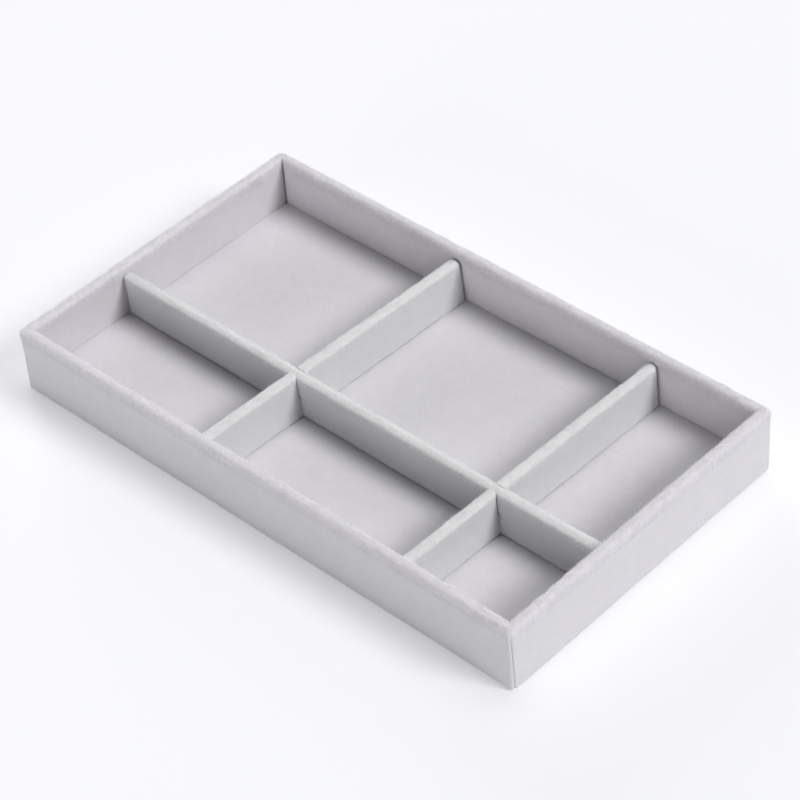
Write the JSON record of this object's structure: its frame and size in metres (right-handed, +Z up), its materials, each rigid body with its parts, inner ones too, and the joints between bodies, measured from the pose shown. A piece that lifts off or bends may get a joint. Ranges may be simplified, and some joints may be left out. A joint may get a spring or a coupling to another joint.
{
  "type": "jewelry tray",
  "caption": "Shallow rectangular velvet-covered tray with a padded floor and crossed dividers that lift out together.",
  "frame": {"origin": "middle of the underside, on the surface that the tray stands on", "axes": "+X along the tray's length to its right end, +Y to the back wall, +Z up"},
  "size_m": [0.3, 0.173, 0.0354],
  "materials": {
    "velvet": "matte",
    "fibreboard": "matte",
    "felt": "matte",
    "card": "matte",
    "foam": "matte"
  },
  "bodies": {
    "tray": {"base_board": "fibreboard", "front_wall_board": "fibreboard", "back_wall_board": "fibreboard", "left_wall_board": "fibreboard", "right_wall_board": "fibreboard", "wall_velvet": "velvet", "underside_felt": "felt", "pad_card": "card", "pad_foam": "foam", "pad_velvet": "velvet"},
    "divider_grid": {"long_divider_board": "fibreboard", "long_divider_velvet": "velvet", "left_cross_divider_board": "fibreboard", "left_cross_divider_velvet": "velvet", "right_cross_divider_board": "fibreboard", "right_cross_divider_velvet": "velvet"}
  },
  "joints": [
    {"name": "divider_lift", "type": "slide", "parent": "tray", "child": "divider_grid", "axis": [0, 0, 1], "range_m": [0, 0.035]}
  ]
}
